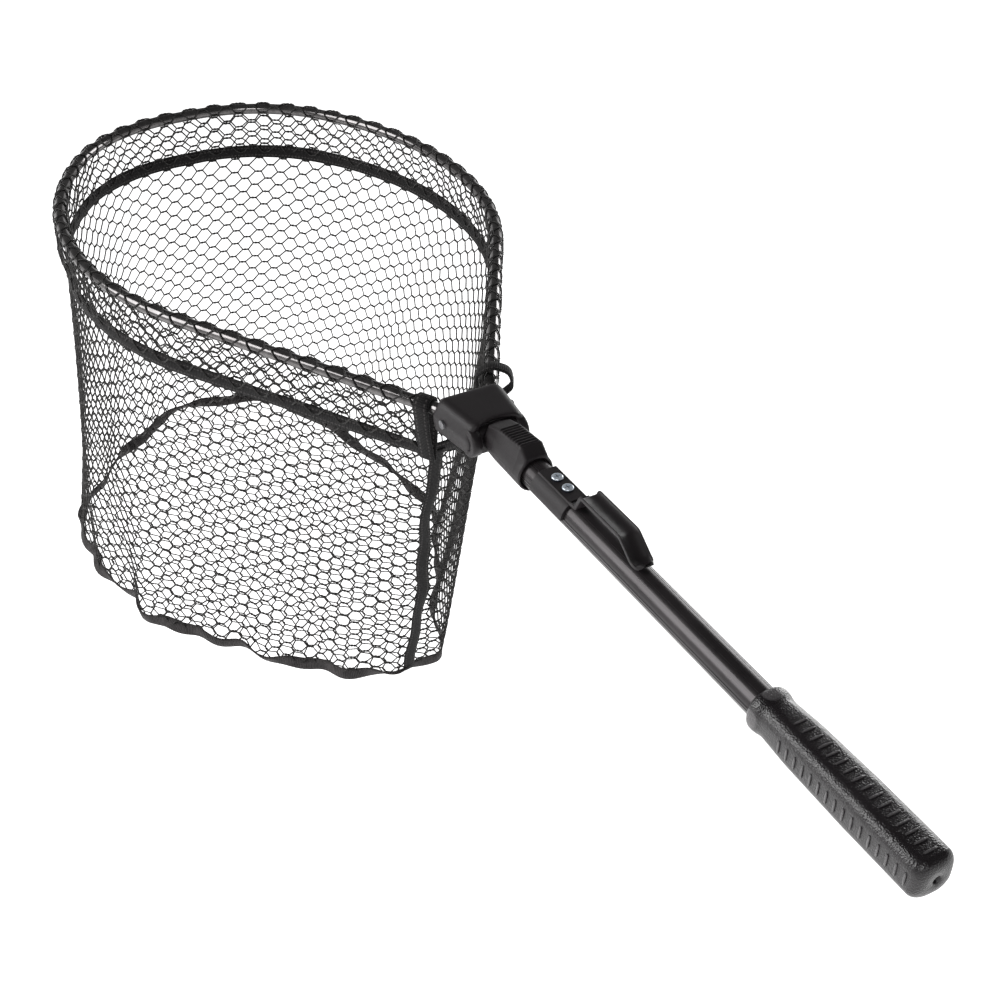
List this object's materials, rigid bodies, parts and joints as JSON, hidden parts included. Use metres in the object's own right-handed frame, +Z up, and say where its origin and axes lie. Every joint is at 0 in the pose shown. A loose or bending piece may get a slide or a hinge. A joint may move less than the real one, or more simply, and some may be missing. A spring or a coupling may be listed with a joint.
{
  "type": "landing net",
  "caption": "Folding landing net: grooved tube handle with belt clip, ribbed grip, sliding lock sleeve, folding head, bent tube hoop and a deep hanging net bag.",
  "frame": {"origin": "centre of the grip's end face, on the handle's axis", "axes": "+X from the butt to the hoop's tip, +Z up out of the bag's mouth, hoop in the plane Z = 0"},
  "size_m": [1.077, 0.3887, 0.3775],
  "materials": {
    "grip_plastic": "textured moulded nylon, matt",
    "moulded_plastic": "moulded plastic, fine satin",
    "tube_black": "black anodised, satin",
    "screw_steel": "bright zinc plate",
    "pin_steel": "plain steel",
    "net_twine": "knotless twisted twine",
    "tape_webbing": "woven tape, matt"
  },
  "bodies": {
    "handle": {"grip": "grip_plastic", "butt_plug": "moulded_plastic", "handle_tube": "tube_black", "clip_saddle": "moulded_plastic", "saddle_screws": "screw_steel", "knuckle": "moulded_plastic", "knuckle_rivet": "pin_steel"},
    "clip": {"belt_clip": "moulded_plastic"},
    "sleeve": {"lock_sleeve": "moulded_plastic"},
    "head": {"head_block": "moulded_plastic", "pivot_pin": "pin_steel", "pivot_bushes": "pin_steel", "hoop_tube": "tube_black", "arm_screws": "screw_steel", "skirt_net": "net_twine", "skirt_tape": "tape_webbing", "wall_net": "net_twine", "hem_tape": "tape_webbing", "bottom_net": "net_twine", "seam_tape": "tape_webbing", "binding_left": "tape_webbing", "binding_right": "tape_webbing"}
  },
  "joints": [
    {"name": "head_fold", "type": "hinge", "parent": "handle", "child": "head", "pos_m": [0.46, 0, -0.002], "axis": [0, 1, 0], "range_deg": [0, 180], "deforming": ["skirt_net", "skirt_tape", "wall_net", "hem_tape", "bottom_net", "seam_tape", "binding_left", "binding_right"]},
    {"name": "sleeve_slide", "type": "slide", "parent": "handle", "child": "sleeve", "axis": [1, 0, 0], "range_m": [-0.012, 0]},
    {"name": "clip_flex", "type": "hinge", "parent": "handle", "child": "clip", "pos_m": [0.3492, 0, 0.0129], "axis": [0, 1, 0], "range_deg": [0, 5], "stiffness_Nm_per_rad": 3}
  ]
}
